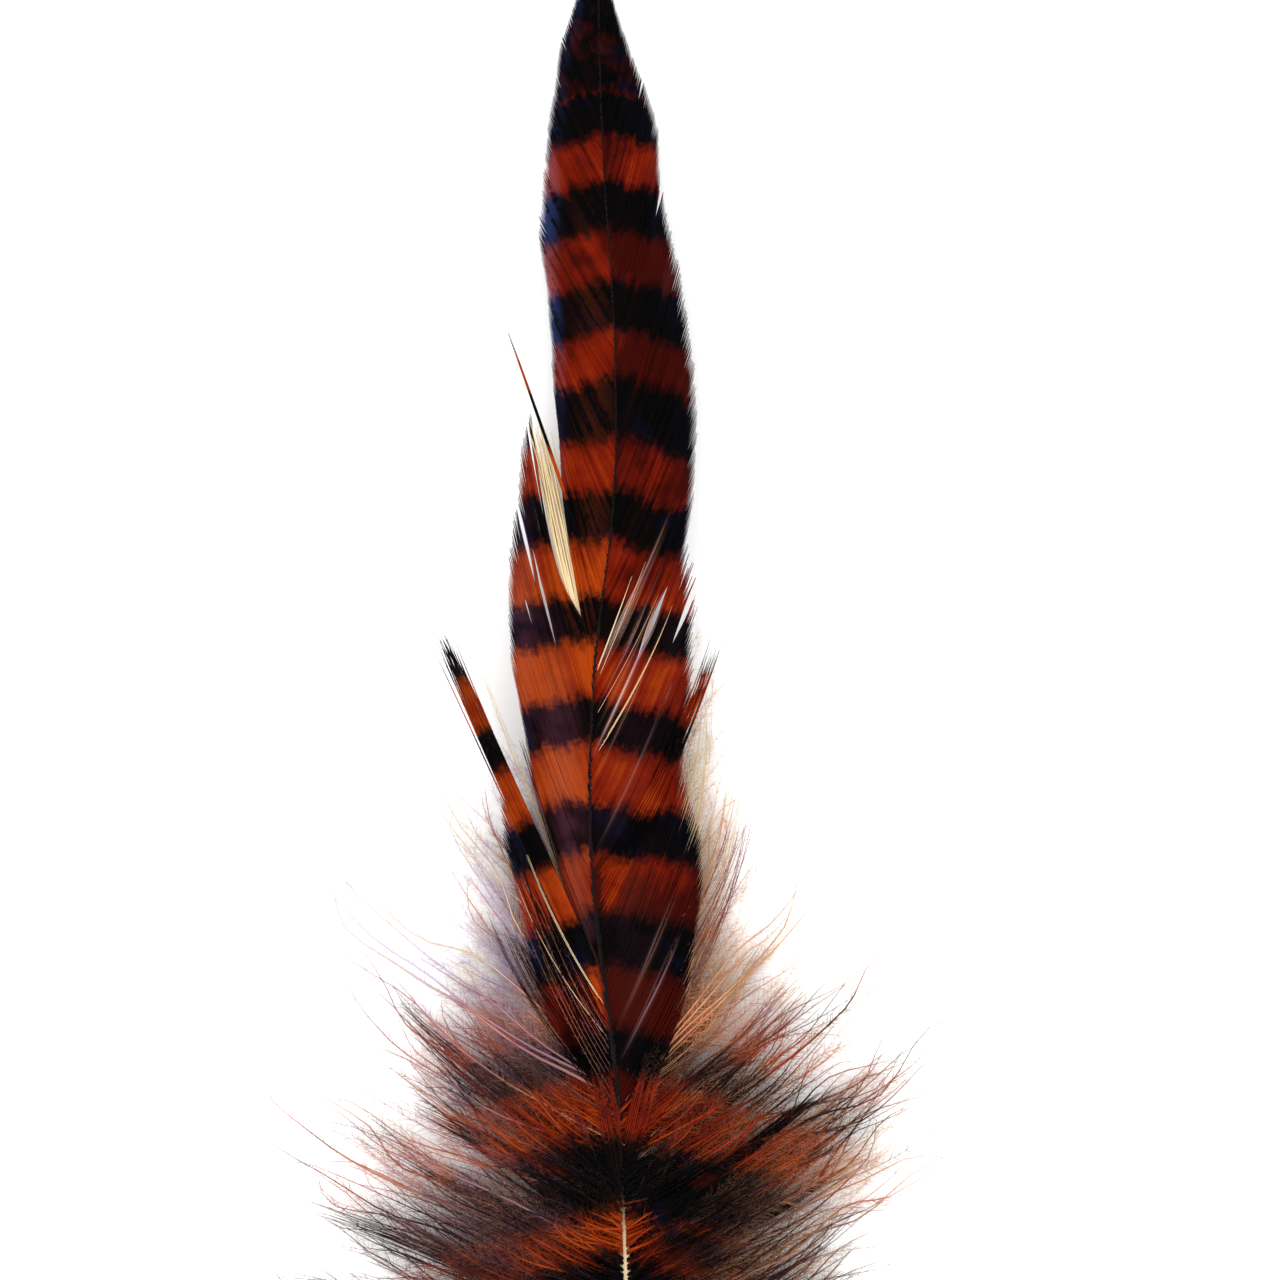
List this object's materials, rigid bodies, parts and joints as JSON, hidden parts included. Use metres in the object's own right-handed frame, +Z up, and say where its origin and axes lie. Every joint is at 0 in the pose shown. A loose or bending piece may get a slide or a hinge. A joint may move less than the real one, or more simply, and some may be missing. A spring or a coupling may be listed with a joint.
{
  "type": "barred schlappen feather",
  "caption": "Long soft rooster schlappen feather with dark and rust bars, split vane edges and a wide fluffy base, lying flat on its bare quill.",
  "frame": {"origin": "on the surface the feather lies on, at the middle of the flat on the underside of the bare quill, 6 mm from the quill's cut end", "axes": "+Y along the feather from the quill towards the tip, +Z up out of the outer (glossy) side, +X to the right with the tip away from the viewer"},
  "size_m": [0.0774, 0.1772, 0.0082],
  "materials": {
    "feather": "satin"
  },
  "bodies": {
    "root": {"feather": "feather"}
  },
  "joints": []
}
